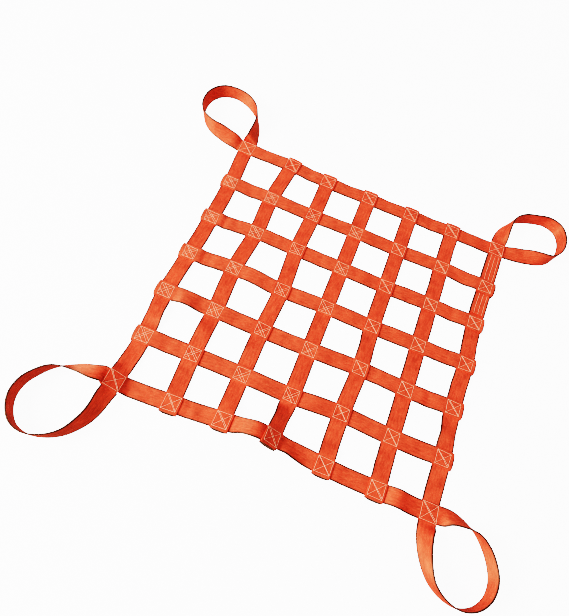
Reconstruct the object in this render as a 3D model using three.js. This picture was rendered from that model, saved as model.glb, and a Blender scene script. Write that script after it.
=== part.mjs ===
// A cargo lifting net of flat webbing, laid out on the floor with a lifting loop at each corner
// Millimetres, +Z up, with the origin on the floor under the middle crossing.
// Rows run along X and are numbered from the far side, columns run along Y and are numbered from the left.

import * as THREE from 'three';
import { mergeVertices } from 'three/addons/utils/BufferGeometryUtils.js';

// Webbing and grid
const WIDTH = 50;
const HALF = WIDTH / 2;
const THICKNESS = 3;
const PITCH = 150;
const LAST = 6;
const MIDDLE = LAST / 2;
const COLOUR = '#f2602f';
const ROUGHNESS = 0.8;

// Layers of a stack lie one level above the other, with a small clearance between pieces
const CLEARANCE = 0.3;
const LEVEL = THICKNESS + CLEARANCE;

// A strap lies flat for this far to each side of a crossing, and comes down to the floor within the fall
const FLAT = 29;
const FALL = 46;
const SPAN_STEPS = 8;

// An inner strap's end passes over the edge strap, folds round its outer side and ends underneath
const FOLD_PAST = 3;
const FOLD_STEPS = 6;
const FOLD_UNDER = 52;

// The edge strap's two ends overlap on the right side, from just below row 0 to just above row 2
const SPLICE_ROW = 1;
const SPLICE_STOP = HALF + 8;

const LOOP_STEPS = 54;

// Which strap is on top at the inner crossings: R is the row, C is the column
const WEAVE = [
  { row: 1, onTop: 'RCRCR' },
  { row: 2, onTop: 'RCRCR' },
  { row: 3, onTop: 'RCRCR' },
  { row: 4, onTop: 'RCRCR' },
  { row: 5, onTop: 'CRCCR' },
];

// How far a crossing lies from its place in the even grid
const DRIFT = [
  { row: 0, column: 0, right: -4, away: 8 },
  { row: 0, column: 1, right: 15, away: 8 },
  { row: 0, column: 6, right: 11, away: 4 },
  { row: 1, column: 0, right: 6, away: -3 },
  { row: 1, column: 6, right: 2, away: -12 },
  { row: 2, column: 0, right: 6, away: -7 },
  { row: 2, column: 1, right: 5, away: 4 },
  { row: 2, column: 2, right: -4, away: 4 },
  { row: 2, column: 6, right: -4, away: -3 },
  { row: 3, column: 0, right: 1, away: -5 },
  { row: 3, column: 1, right: -6, away: 4 },
  { row: 3, column: 2, right: 5, away: -2 },
  { row: 4, column: 0, right: -6, away: -2 },
  { row: 4, column: 4, right: 6, away: 6 },
  { row: 4, column: 6, right: -5, away: 1 },
  { row: 5, column: 0, right: 3, away: -5 },
  { row: 5, column: 4, right: -2, away: 8 },
  { row: 6, column: 0, right: -4, away: -7 },
  { row: 6, column: 1, right: 8, away: -1 },
  { row: 6, column: 2, right: 2, away: 9 },
  { row: 6, column: 3, right: -8, away: 15 },
  { row: 6, column: 4, right: -2, away: 3 },
];

// Crossings that stand off the floor: the lift of their middle, and their slopes in degrees
const HUMPS = [
  { row: 6, column: 0, lift: 18, downRight: 24, downAway: 10 },
  { row: 6, column: 2, lift: 5, downRight: -5, downAway: 0 },
  { row: 6, column: 3, lift: 24, downRight: 26, downAway: 20 },
];
const NO_HUMP = { lift: 0, downRight: 0, downAway: 0 };

// Buckles between two crossings: span 0 is a row's leftmost or a column's nearest. A roll in degrees lifts
// the far side of a row or the left side of a column. The peak's place is a share of the span's length.
const BUCKLES = [
  { strap: 'row', index: 3, span: 1, rise: 6, roll: 0, peak: 0.4 },
  { strap: 'row', index: 4, span: 0, rise: 13, roll: -10, peak: 0.42 },
  { strap: 'row', index: 6, span: 2, rise: 10, roll: -22, peak: 0.42 },
  { strap: 'row', index: 6, span: 3, rise: 6, roll: -20, peak: 0.35 },
  { strap: 'row', index: 6, span: 5, rise: 16, roll: 0, peak: 0.34 },
  { strap: 'column', index: 0, span: 1, rise: 7, roll: -14, peak: 0.5 },
  { strap: 'column', index: 1, span: 1, rise: 4, roll: 11, peak: 0.6 },
  { strap: 'column', index: 2, span: 1, rise: 4, roll: 10, peak: 0.6 },
  { strap: 'column', index: 3, span: 0, rise: 4, roll: 26, peak: 0.5 },
  { strap: 'column', index: 4, span: 2, rise: 5, roll: 13, peak: 0.5 },
  { strap: 'column', index: 6, span: 1, rise: 6, roll: 14, peak: 0.5 },
];
const NO_BUCKLE = { rise: 0, roll: 0, peak: 0.5 };

// Spans that start with a shorter fall
const STEEP = [
  { strap: 'row', index: 2, span: 0, fall: 20 },
  { strap: 'row', index: 3, span: 0, fall: 20 },
  { strap: 'row', index: 6, span: 0, fall: 16 },
  { strap: 'row', index: 6, span: 1, fall: 20 },
  { strap: 'column', index: 0, span: 0, fall: 24 },
];

// Each corner's way out of the net, the level of its two straps, and the angle in degrees by which each leg
// turns towards the loop. The row's leg first climbs by the rise, in degrees, and both legs reach the floor
// within the fall. A path is where the loop's lower edge stands on the floor, from the row's leg to the
// column's leg. Out is measured from the corner along the row and past along the column. Lean is 0 degrees
// where the strap lies flat and 90 where it stands on edge.
const CORNERS = [
  {
    name: 'far_left', row: 0, column: 0, right: -1, away: 1,
    rowLevel: 1, columnLevel: 0, rowTurn: 1, columnTurn: 0, rise: 18, fall: 70,
    path: [
      { out: 60, past: -20, lean: 20 },
      { out: 100, past: -6, lean: 45 },
      { out: 140, past: 11, lean: 72 },
      { out: 172, past: 38, lean: 90 },
      { out: 190, past: 66, lean: 98 },
      { out: 199, past: 108, lean: 101 },
      { out: 192, past: 151, lean: 100 },
      { out: 167, past: 183, lean: 96 },
      { out: 127, past: 196, lean: 92 },
      { out: 82, past: 186, lean: 96 },
      { out: 47, past: 166, lean: 94 },
      { out: 14, past: 134, lean: 82 },
      { out: -7, past: 95, lean: 66 },
      { out: -18, past: 58, lean: 48 },
      { out: -23, past: 40, lean: 32 },
    ],
  },
  {
    name: 'far_right', row: 0, column: 6, right: 1, away: 1,
    rowLevel: 0, columnLevel: 1, rowTurn: 6, columnTurn: 2, rise: 0, fall: 40,
    path: [
      { out: 60, past: -19, lean: 12 },
      { out: 103, past: -11, lean: 24 },
      { out: 143, past: 3, lean: 58 },
      { out: 173, past: 24, lean: 86 },
      { out: 191, past: 53, lean: 97 },
      { out: 201, past: 91, lean: 99 },
      { out: 199, past: 126, lean: 97 },
      { out: 182, past: 160, lean: 95 },
      { out: 143, past: 177, lean: 92 },
      { out: 98, past: 168, lean: 91 },
      { out: 53, past: 149, lean: 92 },
      { out: 22, past: 127, lean: 82 },
      { out: 0, past: 100, lean: 60 },
      { out: -17, past: 64, lean: 32 },
    ],
  },
  {
    name: 'near_left', row: 6, column: 0, right: -1, away: -1,
    rowLevel: 0, columnLevel: 1, rowTurn: 0, columnTurn: 2, rise: 0, fall: 110,
    path: [
      { out: 57, past: -17, lean: 26 },
      { out: 98, past: -9, lean: 46 },
      { out: 140, past: 9, lean: 67 },
      { out: 166, past: 29, lean: 81 },
      { out: 190, past: 59, lean: 89 },
      { out: 210, past: 99, lean: 93 },
      { out: 212, past: 133, lean: 95 },
      { out: 197, past: 171, lean: 96 },
      { out: 170, past: 198, lean: 97 },
      { out: 135, past: 207, lean: 98 },
      { out: 95, past: 200, lean: 95 },
      { out: 50, past: 176, lean: 86 },
      { out: 15, past: 137, lean: 68 },
      { out: -8, past: 94, lean: 50 },
      { out: -19, past: 54, lean: 34 },
    ],
  },
  {
    name: 'near_right', row: 6, column: 6, right: 1, away: -1,
    rowLevel: 1, columnLevel: 0, rowTurn: -4, columnTurn: 3, rise: 0, fall: 40,
    path: [
      { out: 60, past: -27, lean: 31 },
      { out: 95, past: -16, lean: 56 },
      { out: 130, past: 4, lean: 80 },
      { out: 155, past: 31, lean: 91 },
      { out: 176, past: 65, lean: 95 },
      { out: 188, past: 105, lean: 97 },
      { out: 181, past: 147, lean: 97 },
      { out: 157, past: 177, lean: 97 },
      { out: 120, past: 192, lean: 97 },
      { out: 82, past: 187, lean: 95 },
      { out: 42, past: 166, lean: 88 },
      { out: 11, past: 131, lean: 72 },
      { out: -10, past: 91, lean: 54 },
      { out: -21, past: 56, lean: 31 },
    ],
  },
];

const { degToRad, lerp, radToDeg, smoothstep } = THREE.MathUtils;
const UP = new THREE.Vector3(0, 0, 1);
const slopeAt = (degrees) => Math.tan(degToRad(degrees));

// A smooth curve through a table of values, straight on past its ends
function tableCurve(places, values, firstSlope, lastSlope) {
  const end = places.length - 1;
  const chord = (i) => (values[i + 1] - values[i]) / (places[i + 1] - places[i]);
  const slopes = places.map((place, i) => {
    if (i === 0) return firstSlope ?? chord(0);
    if (i === end) return lastSlope ?? chord(end - 1);
    const before = place - places[i - 1];
    const after = places[i + 1] - place;
    return (chord(i - 1) * after + chord(i) * before) / (before + after);
  });
  return (place) => {
    if (place <= places[0]) return values[0] + slopes[0] * (place - places[0]);
    if (place >= places[end]) return values[end] + slopes[end] * (place - places[end]);
    const i = places.findLastIndex((start) => start <= place);
    return hermite(places[i], values[i], slopes[i], places[i + 1], values[i + 1], slopes[i + 1], place);
  };
}

// The cubic from one end to the other that has the given slopes there
function hermite(startPlace, start, startSlope, endPlace, end, endSlope, place) {
  const length = endPlace - startPlace;
  const t = (place - startPlace) / length;
  const ease = t * t * (3 - 2 * t);
  const leaving = t * (1 - t) * (1 - t);
  const arriving = t * t * (t - 1);
  return start + (end - start) * ease + length * (startSlope * leaving + endSlope * arriving);
}

// The slope of a function of one place
function slopeOf(curve, place) {
  const step = 0.5;
  return (curve(place + step) - curve(place - step)) / (2 * step);
}

// Lays a flat strap through stations that each have a centre, a direction across and a direction up
function strapGeometry(stations) {
  const segments = stations.length - 1;
  const geometry = new THREE.BoxGeometry(1, WIDTH, THICKNESS, segments, 1, 1);
  geometry.deleteAttribute('normal');
  geometry.deleteAttribute('uv');
  const position = geometry.attributes.position;
  const point = new THREE.Vector3();
  for (let i = 0; i < position.count; i += 1) {
    const station = stations[Math.round((position.getX(i) + 0.5) * segments)];
    point.copy(station.centre);
    point.addScaledVector(station.across, position.getY(i));
    point.addScaledVector(station.up, position.getZ(i));
    position.setXYZ(i, point.x, point.y, point.z);
  }
  return mergeVertices(geometry);
}

function strapMesh(name, stations) {
  const material = new THREE.MeshStandardMaterial({ color: COLOUR, roughness: ROUGHNESS, metalness: 0 });
  const mesh = new THREE.Mesh(strapGeometry(stations), material);
  mesh.name = name;
  return mesh;
}

const rowAndColumn = (row, column) => (entry) => entry.row === row && entry.column === column;

// The middle of a crossing on the floor, its lift and slopes, and the upright distance between its layers
function crossing(row, column) {
  const drift = DRIFT.find(rowAndColumn(row, column)) ?? { right: 0, away: 0 };
  const hump = HUMPS.find(rowAndColumn(row, column)) ?? NO_HUMP;
  const downRight = slopeAt(hump.downRight);
  const downAway = slopeAt(hump.downAway);
  return {
    x: (column - MIDDLE) * PITCH + drift.right,
    y: (MIDDLE - row) * PITCH + drift.away,
    lift: hump.lift,
    downRight,
    downAway,
    layer: LEVEL * Math.hypot(1, downRight, downAway),
  };
}

const onEdge = (index) => index === 0 || index === LAST;
const cornerAt = (row, column) => CORNERS.find(rowAndColumn(row, column));
const topAt = (row, column) => WEAVE.find((entry) => entry.row === row).onTop[column - 1];

// Layers under a row strap at a crossing: an inner strap's folded end and the edge strap, or the column
function rowLevel(row, column) {
  if (onEdge(row) && onEdge(column)) return cornerAt(row, column).rowLevel;
  if (onEdge(row)) return 1;
  if (onEdge(column)) return column === LAST && row === SPLICE_ROW ? 3 : 2;
  return topAt(row, column) === 'R' ? 1 : 0;
}

// The same for a column strap. On the right side this is the splice's lower ply, on the floor at row 0.
function columnLevel(row, column) {
  if (row === 0 && column === LAST) return 0;
  if (onEdge(row) && onEdge(column)) return cornerAt(row, column).columnLevel;
  if (onEdge(column)) return 1;
  if (onEdge(row)) return 2;
  return topAt(row, column) === 'C' ? 1 : 0;
}

// A row's crossings from left to right, in its own axes: along is X and across is Y
function rowKnots(row) {
  return Array.from({ length: LAST + 1 }, (_, column) => {
    const { x, y, lift, downRight, downAway, layer } = crossing(row, column);
    const level = rowLevel(row, column);
    return { along: x, across: y, lift, level, stack: level * layer, pitch: -downRight, roll: -downAway };
  });
}

// A column's crossings from the near side to the far side: along is Y and across is -X
function columnKnots(column) {
  return Array.from({ length: LAST + 1 }, (_, i) => {
    const row = LAST - i;
    const { x, y, lift, downRight, downAway, layer } = crossing(row, column);
    const level = columnLevel(row, column);
    return { along: y, across: -x, lift, level, stack: level * layer, pitch: -downAway, roll: downRight };
  });
}

// The sideways slope that a corner gives to the end of its row or column strap
function endSlope(corner, kind) {
  const turn = kind === 'row' ? corner.rowTurn : -corner.columnTurn;
  return corner.right * corner.away * slopeAt(turn);
}

// A strap that lies on the net's grid, flat at each crossing and free in between
class LyingStrap {
  constructor(kind, index) {
    const isRow = kind === 'row';
    const rowEnds = [cornerAt(index, 0), cornerAt(index, LAST)];
    const columnEnds = [cornerAt(LAST, index), cornerAt(0, index)];
    const ends = isRow ? rowEnds : columnEnds;
    this.knots = isRow ? rowKnots(index) : columnKnots(index);
    this.buckles = BUCKLES.filter((buckle) => buckle.strap === kind && buckle.index === index);
    this.steeps = STEEP.filter((steep) => steep.strap === kind && steep.index === index);
    this.endSlopes = ends.map((corner) => corner && endSlope(corner, kind));
    const places = this.knots.map((knot) => knot.along);
    const drifts = this.knots.map((knot) => knot.across);
    this.drift = tableCurve(places, drifts, ...this.endSlopes);
    this.height = (along) => this.lie(along).height;
  }

  get first() {
    return this.knots[0];
  }

  get last() {
    return this.knots[LAST];
  }

  // Where an edge strap ends in a loop
  get joints() {
    const [first, last] = this.endSlopes.map((slope) => FLAT / Math.hypot(1, slope));
    return [this.first.along - first, this.last.along + last];
  }

  // The plane of a crossing, on the strap's middle line: its height and its slope across the strap
  planeHeight(knot, along) {
    return knot.lift + knot.pitch * (along - knot.along) + knot.roll * (this.drift(along) - knot.across);
  }

  planeRoll(knot, along) {
    return knot.roll - knot.pitch * slopeOf(this.drift, along);
  }

  // Height of the underside on the middle line, and the slope across the strap
  lie(along) {
    const near = this.knots.find((knot) => Math.abs(along - knot.along) <= FLAT);
    const outside = along < this.first.along ? this.first : this.last;
    const flat = near ?? (along < this.first.along || along > this.last.along ? outside : undefined);
    if (flat) {
      return { height: this.planeHeight(flat, along) + flat.stack, roll: this.planeRoll(flat, along) };
    }
    const span = this.knots.findLastIndex((knot) => knot.along < along);
    const [from, to] = [this.knots[span], this.knots[span + 1]];
    const start = from.along + FLAT;
    const end = to.along - FLAT;
    const leaving = (place) => this.planeHeight(from, place);
    const arriving = (place) => this.planeHeight(to, place);
    const [climb, descent] = [slopeOf(leaving, start), slopeOf(arriving, end)];
    const held = hermite(start, leaving(start), climb, end, arriving(end), descent, along);
    const { fall } = this.steeps.find((entry) => entry.span === span) ?? { fall: FALL };
    const startShare = 1 - smoothstep(along, start, start + fall);
    const endShare = smoothstep(along, end - FALL, end);
    const buckle = this.buckles.find((entry) => entry.span === span) ?? NO_BUCKLE;
    const shift = Math.log(0.5) / Math.log(buckle.peak);
    const middle = Math.sin(Math.PI * ((along - start) / (end - start)) ** shift) ** 2;
    const buckleRoll = slopeAt(buckle.roll);
    const rise = Math.max(buckle.rise, Math.abs(buckleRoll) * HALF);
    const evenRoll = this.planeRoll(from, start) * startShare + this.planeRoll(to, end) * endShare;
    const roll = evenRoll + buckleRoll * middle;
    const height = held + from.stack * startShare + to.stack * endShare + rise * middle;
    return { height: Math.max(height, Math.abs(roll) * HALF), roll };
  }

  station(along, lift = 0) {
    const turn = slopeOf(this.drift, along);
    const { height, roll } = this.lie(along);
    const across = new THREE.Vector3(-turn, 1, roll).normalize();
    const forward = new THREE.Vector3(1, turn, slopeOf(this.height, along));
    const up = forward.cross(across).normalize();
    const centre = new THREE.Vector3(along, this.drift(along), height + lift + THICKNESS / 2);
    return { centre, across, up };
  }

  // Stations between two places, at the ends of each flat part and at even steps in between
  stations(start, end, lift = 0) {
    const marks = this.knots.flatMap((knot, i) => {
      const next = this.knots[i + 1];
      const steps = next ? SPAN_STEPS : 1;
      const from = knot.along + FLAT;
      const to = next ? next.along - FLAT : from;
      const span = Array.from({ length: steps }, (_, step) => lerp(from, to, step / SPAN_STEPS));
      return [knot.along - FLAT, ...span];
    });
    const inside = marks.filter((mark) => mark > start + CLEARANCE && mark < end - CLEARANCE);
    return [start, ...inside, end].map((along) => this.station(along, lift));
  }

  // The fold round the edge strap and the end underneath it, from the top down
  fold(knot, outward) {
    const along = knot.along + outward * (HALF + FOLD_PAST);
    const { centre, across, up: top } = this.station(along);
    const out = across.clone().cross(top).multiplyScalar(outward);
    const radius = knot.level * LEVEL / 2;
    const axis = centre.clone().addScaledVector(top, -radius);
    const stations = Array.from({ length: FOLD_STEPS + 1 }, (_, step) => {
      const angle = Math.PI * step / FOLD_STEPS;
      const up = out.clone().multiplyScalar(Math.sin(angle)).addScaledVector(top, Math.cos(angle));
      return { centre: axis.clone().addScaledVector(up, radius), across, up };
    });
    const bottom = stations[FOLD_STEPS];
    const end = bottom.centre.clone().addScaledVector(out, -FOLD_UNDER);
    return [...stations, { ...bottom, centre: end }];
  }

  // An inner strap from one folded end to the other
  folded() {
    const start = this.fold(this.first, -1).reverse();
    const end = this.fold(this.last, 1);
    const [from, to] = [this.first.along - HALF - FOLD_PAST, this.last.along + HALF + FOLD_PAST];
    const top = this.stations(from, to).slice(1, -1);
    return [...start, ...top, ...end];
  }
}

// The direction of a corner's leg and the side of it that lies away from the loop, in the corner's own axes
function legEnd(turn, isRow) {
  const angle = degToRad(turn);
  const ahead = new THREE.Vector2(Math.cos(angle), Math.sin(angle));
  const outer = new THREE.Vector2(Math.sin(angle), -Math.cos(angle));
  const edge = ahead.clone().multiplyScalar(FLAT + CLEARANCE).addScaledVector(outer, HALF);
  const swap = (vector) => new THREE.Vector2(vector.y, vector.x);
  return isRow ? { ahead, edge } : { ahead: swap(ahead), edge: swap(edge) };
}

// A lifting loop: its legs leave the corner in the crossing's plane, and between them it stands on one edge
function loopStations(corner) {
  const { lift, downRight, downAway, layer } = crossing(corner.row, corner.column);
  const rowClimb = -downRight * corner.right;
  const columnClimb = -downAway * corner.away;
  const rowHeight = corner.rowLevel * layer + lift + rowClimb * FLAT - columnClimb * HALF;
  const columnHeight = corner.columnLevel * layer + lift + columnClimb * FLAT - rowClimb * HALF;
  const leaving = legEnd(corner.rowTurn, true);
  const arriving = legEnd(corner.columnTurn, false);
  const table = [
    { out: leaving.edge.x, past: leaving.edge.y, lean: radToDeg(Math.atan(columnClimb)) },
    ...corner.path,
    { out: arriving.edge.x, past: arriving.edge.y, lean: radToDeg(Math.atan(rowClimb)) },
  ];
  const places = [0];
  for (let i = 1; i < table.length; i += 1) {
    const step = Math.hypot(table[i].out - table[i - 1].out, table[i].past - table[i - 1].past);
    places.push(places[i - 1] + step);
  }
  const curve = (key, first, last) => tableCurve(places, table.map((entry) => entry[key]), first, last);
  const out = curve('out', leaving.ahead.x, -arriving.ahead.x);
  const past = curve('past', leaving.ahead.y, -arriving.ahead.y);
  const lean = curve('lean', 0, 0);
  const total = places[places.length - 1];
  const fallStart = total - corner.fall;
  const legLift = (place) => {
    const rowSlope = rowClimb + slopeAt(corner.rise);
    if (place < corner.fall) return hermite(0, rowHeight, rowSlope, corner.fall, 0, 0, place);
    if (place > fallStart) return hermite(fallStart, 0, 0, total, columnHeight, -columnClimb, place);
    return 0;
  };
  const mirror = new THREE.Vector3(corner.right, corner.away, 1);
  const ends = {
    0: [leaving.ahead.x, leaving.ahead.y, rowClimb],
    [LOOP_STEPS]: [-arriving.ahead.x, -arriving.ahead.y, -columnClimb],
  };
  const stations = Array.from({ length: LOOP_STEPS + 1 }, (_, step) => {
    const place = total * step / LOOP_STEPS;
    const heading = ends[step] ?? [out, past, legLift].map((coordinate) => slopeOf(coordinate, place));
    const ahead = new THREE.Vector3(...heading).normalize();
    const inward = UP.clone().cross(ahead).normalize();
    const angle = degToRad(lean(place));
    const across = inward.clone().multiplyScalar(Math.cos(angle)).addScaledVector(UP, Math.sin(angle));
    const up = ahead.clone().cross(across).normalize();
    const rest = Math.max(legLift(place), 0) + Math.abs(Math.cos(angle)) * THICKNESS / 2;
    const centre = new THREE.Vector3(out(place), past(place), rest).addScaledVector(across, HALF);
    return { centre: centre.multiply(mirror), across: across.multiply(mirror), up: up.multiply(mirror) };
  });
  return corner.right * corner.away < 0 ? stations.reverse() : stations;
}

const net = new THREE.Group();
const columns = new THREE.Group();
columns.rotation.z = Math.PI / 2;
net.add(columns);

// Edge straps along the far, near and left sides
const farEdge = new LyingStrap('row', 0);
const nearEdge = new LyingStrap('row', LAST);
const leftEdge = new LyingStrap('column', 0);
net.add(strapMesh('edge_far', farEdge.stations(...farEdge.joints)));
net.add(strapMesh('edge_near', nearEdge.stations(...nearEdge.joints)));
columns.add(strapMesh('edge_left', leftEdge.stations(...leftEdge.joints)));

// Edge strap along the right side: its lower ply comes from the near loop, its upper ply from the far loop
const rightEdge = new LyingStrap('column', LAST);
const [nearJoint, farJoint] = rightEdge.joints;
const lowerPlyEnd = rightEdge.last.along - SPLICE_STOP;
const upperPlyEnd = rightEdge.knots[LAST - SPLICE_ROW - 1].along + SPLICE_STOP;
columns.add(strapMesh('edge_right', rightEdge.stations(nearJoint, lowerPlyEnd)));
columns.add(strapMesh('splice_ply', rightEdge.stations(upperPlyEnd, farJoint, LEVEL)));

// Inner straps
for (let i = 1; i < LAST; i += 1) {
  net.add(strapMesh(`row_strap_${i}`, new LyingStrap('row', i).folded()));
  columns.add(strapMesh(`column_strap_${i}`, new LyingStrap('column', i).folded()));
}

// Lifting loops
for (const corner of CORNERS) {
  const loop = strapMesh(`loop_${corner.name}`, loopStations(corner));
  const { x, y } = crossing(corner.row, corner.column);
  loop.position.set(x, y, 0);
  net.add(loop);
}

export default net;
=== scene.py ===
# %% [markdown]
# # A cargo lifting net, laid out on the floor
# The real net is sewn from one kind of flat polyester webbing, 50 mm wide and 3 mm thick. One long strap
# runs all round it and makes the four lifting loops as it goes. Five straps run across the net and five
# run away from the camera, and each of these is folded round the edge strap at both ends. Every crossing
# is sewn with a square and two diagonals.
#
# The CAD frame already holds each strap as a plain solid. This lesson lays finer webbing in the same
# places, with rounded selvedges, a weave and real stitches, and lets each piece stand for its solids.

# %% Load the CAD frame
import math
import random
from collections import namedtuple

import bpy
import numpy as np
from mathutils import Matrix, Quaternion, Vector


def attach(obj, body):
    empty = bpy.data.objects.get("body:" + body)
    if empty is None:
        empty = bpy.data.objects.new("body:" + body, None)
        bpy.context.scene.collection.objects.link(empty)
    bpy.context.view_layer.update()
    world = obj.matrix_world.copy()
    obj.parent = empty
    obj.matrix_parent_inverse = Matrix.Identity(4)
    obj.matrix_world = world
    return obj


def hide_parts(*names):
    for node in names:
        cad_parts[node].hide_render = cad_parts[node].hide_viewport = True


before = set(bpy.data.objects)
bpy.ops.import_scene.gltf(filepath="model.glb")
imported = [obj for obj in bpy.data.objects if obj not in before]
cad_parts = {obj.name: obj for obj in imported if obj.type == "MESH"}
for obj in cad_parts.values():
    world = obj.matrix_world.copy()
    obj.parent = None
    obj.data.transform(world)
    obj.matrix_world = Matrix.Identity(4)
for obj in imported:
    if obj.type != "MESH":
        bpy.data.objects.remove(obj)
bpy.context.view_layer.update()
print("CAD nodes:", len(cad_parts))

# %% [markdown]
# ## Camera
# The photograph looks down on the net from its near side, with the camera rolled to the right. A camera
# can be turned by hand until the picture fits, but here its place, aim and roll are measured, so they are
# typed in. The lens follows from the focal length and the long side of the photograph, both in its
# pixels.

# %% Camera
PHOTO_LONG_SIDE = 616
FOCAL_LENGTH = 551.9
CAMERA_PLACE = Vector((-0.0493, -0.8001, 1.4804))
CAMERA_AIM = Vector((-0.1158, -0.0534, 0))
CAMERA_ROLL = math.radians(17.9)

bpy.ops.object.camera_add(location=CAMERA_PLACE)
camera = bpy.context.object
camera.name = "photo_camera"
camera.data.lens = FOCAL_LENGTH / PHOTO_LONG_SIDE * camera.data.sensor_width
view = (CAMERA_AIM - CAMERA_PLACE).to_track_quat("-Z", "Y")
camera.rotation_mode = "QUATERNION"
camera.rotation_quaternion = view @ Quaternion((0, 0, 1), CAMERA_ROLL)
bpy.context.scene.camera = camera
print("lens, mm:", round(camera.data.lens, 2))

# %% [markdown]
# ## The grid of the net
# A net that has been thrown on the floor is never quite square. Each crossing has its place in an even
# grid and a small drift from it, read off the photograph, and three crossings on the near side stand off
# the floor and lean. Rows are counted from the far side and columns from the left. The tables are in
# millimetres and degrees, as a maker would measure them, and are turned into metres and slopes where they
# are used.

# %% Webbing and grid
MM = 0.001
WIDTH = 50 * MM
HALF = WIDTH / 2
THICKNESS = 3 * MM

# One layer in a stack takes up its thickness and a clearance
CLEARANCE = 0.3 * MM
LEVEL = THICKNESS + CLEARANCE

# Rows and columns are numbered from 0 to LAST
PITCH = 150 * MM
LAST = 6
MIDDLE = LAST // 2

# (row, column): drift to the right and away from the camera
DRIFT = {
    (0, 0): (-4, 8), (0, 1): (15, 8), (0, 6): (11, 4),
    (1, 0): (6, -3), (1, 6): (2, -12),
    (2, 0): (6, -7), (2, 1): (5, 4), (2, 2): (-4, 4), (2, 6): (-4, -3),
    (3, 0): (1, -5), (3, 1): (-6, 4), (3, 2): (5, -2),
    (4, 0): (-6, -2), (4, 4): (6, 6), (4, 6): (-5, 1),
    (5, 0): (3, -5), (5, 4): (-2, 8),
    (6, 0): (-4, -7), (6, 1): (8, -1), (6, 2): (2, 9), (6, 3): (-8, 15), (6, 4): (-2, 3),
}

# (row, column): lift off the floor, and slopes down to the right and down away from the camera in degrees
HUMPS = {(6, 0): (18, 24, 10), (6, 2): (5, -5, 0), (6, 3): (24, 26, 20)}

Crossing = namedtuple("Crossing", "x y lift down_right down_away")


def slope(degrees):
    """The rise for each metre of run"""
    return math.tan(math.radians(degrees))


def crossing(row, column):
    """The middle of a crossing, with its lift off the floor and its slopes"""
    right, away = DRIFT.get((row, column), (0, 0))
    lift, down_right, down_away = HUMPS.get((row, column), (0, 0, 0))
    x = (column - MIDDLE) * PITCH + right * MM
    y = (MIDDLE - row) * PITCH + away * MM
    return Crossing(x, y, lift * MM, slope(down_right), slope(down_away))


def layer_height(spot):
    """Height of one layer in a crossing's stack, which is more where the stack leans"""
    return LEVEL * math.hypot(1, spot.down_right, spot.down_away)


crossings = {(row, column): crossing(row, column) for row in range(LAST + 1) for column in range(LAST + 1)}
print("crossings:", len(crossings))

# %% [markdown]
# ## The lifting loops
# At a corner the edge strap crosses itself, and the length that stands out beyond the corner is a loop.
# Its two legs leave the corner flat, and between them the webbing twists up and stands on its edge.
#
# The signs of right and away say which way the corner points. A level is the number of layers under a
# leg, and a turn is the angle by which a leg leaves the corner askew. The row's leg starts with the slope
# row_rise, and both legs come down to the floor within the length fall. Each path follows the loop's
# lower edge on the floor, from the row's leg to the column's leg: how far it is out along the row, how
# far past the row along the column, and its lean, which is 0 degrees where the webbing lies flat and 90
# where it stands.

# %% Corners
CORNERS = {
    (0, 0): {
        "right": -1, "away": 1, "row_level": 1, "column_level": 0,
        "row_turn": 1, "column_turn": 0, "row_rise": 18, "fall": 70,
        "path": [
            (60, -20, 20), (100, -6, 45), (140, 11, 72), (172, 38, 90), (190, 66, 98),
            (199, 108, 101), (192, 151, 100), (167, 183, 96), (127, 196, 92), (82, 186, 96),
            (47, 166, 94), (14, 134, 82), (-7, 95, 66), (-18, 58, 48), (-23, 40, 32),
        ],
    },
    (0, 6): {
        "right": 1, "away": 1, "row_level": 0, "column_level": 1,
        "row_turn": 6, "column_turn": 2, "row_rise": 0, "fall": 40,
        "path": [
            (60, -19, 12), (103, -11, 24), (143, 3, 58), (173, 24, 86), (191, 53, 97),
            (201, 91, 99), (199, 126, 97), (182, 160, 95), (143, 177, 92), (98, 168, 91),
            (53, 149, 92), (22, 127, 82), (0, 100, 60), (-17, 64, 32),
        ],
    },
    (6, 0): {
        "right": -1, "away": -1, "row_level": 0, "column_level": 1,
        "row_turn": 0, "column_turn": 2, "row_rise": 0, "fall": 110,
        "path": [
            (57, -17, 26), (98, -9, 46), (140, 9, 67), (166, 29, 81), (190, 59, 89),
            (210, 99, 93), (212, 133, 95), (197, 171, 96), (170, 198, 97), (135, 207, 98),
            (95, 200, 95), (50, 176, 86), (15, 137, 68), (-8, 94, 50), (-19, 54, 34),
        ],
    },
    (6, 6): {
        "right": 1, "away": -1, "row_level": 1, "column_level": 0,
        "row_turn": -4, "column_turn": 3, "row_rise": 0, "fall": 40,
        "path": [
            (60, -27, 31), (95, -16, 56), (130, 4, 80), (155, 31, 91), (176, 65, 95),
            (188, 105, 97), (181, 147, 97), (157, 177, 97), (120, 192, 97), (82, 187, 95),
            (42, 166, 88), (11, 131, 72), (-10, 91, 54), (-21, 56, 31),
        ],
    },
}
print("loops:", len(CORNERS))

# %% [markdown]
# ## Curves through a table
# A strap bends smoothly through the places in its table. A Bezier curve object could do this, but a strap
# also needs its width kept level and its twist under control, so the curve is worked out in code.

# %% Curves


def bend(start_place, start, start_slope, end_place, end, end_slope, place):
    """The cubic from one end to the other that has the given slopes there"""
    length = end_place - start_place
    t = (place - start_place) / length
    over = t * t * (3 - 2 * t)
    leaving = t * (1 - t) * (1 - t)
    arriving = t * t * (t - 1)
    return start + (end - start) * over + length * (start_slope * leaving + end_slope * arriving)


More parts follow.
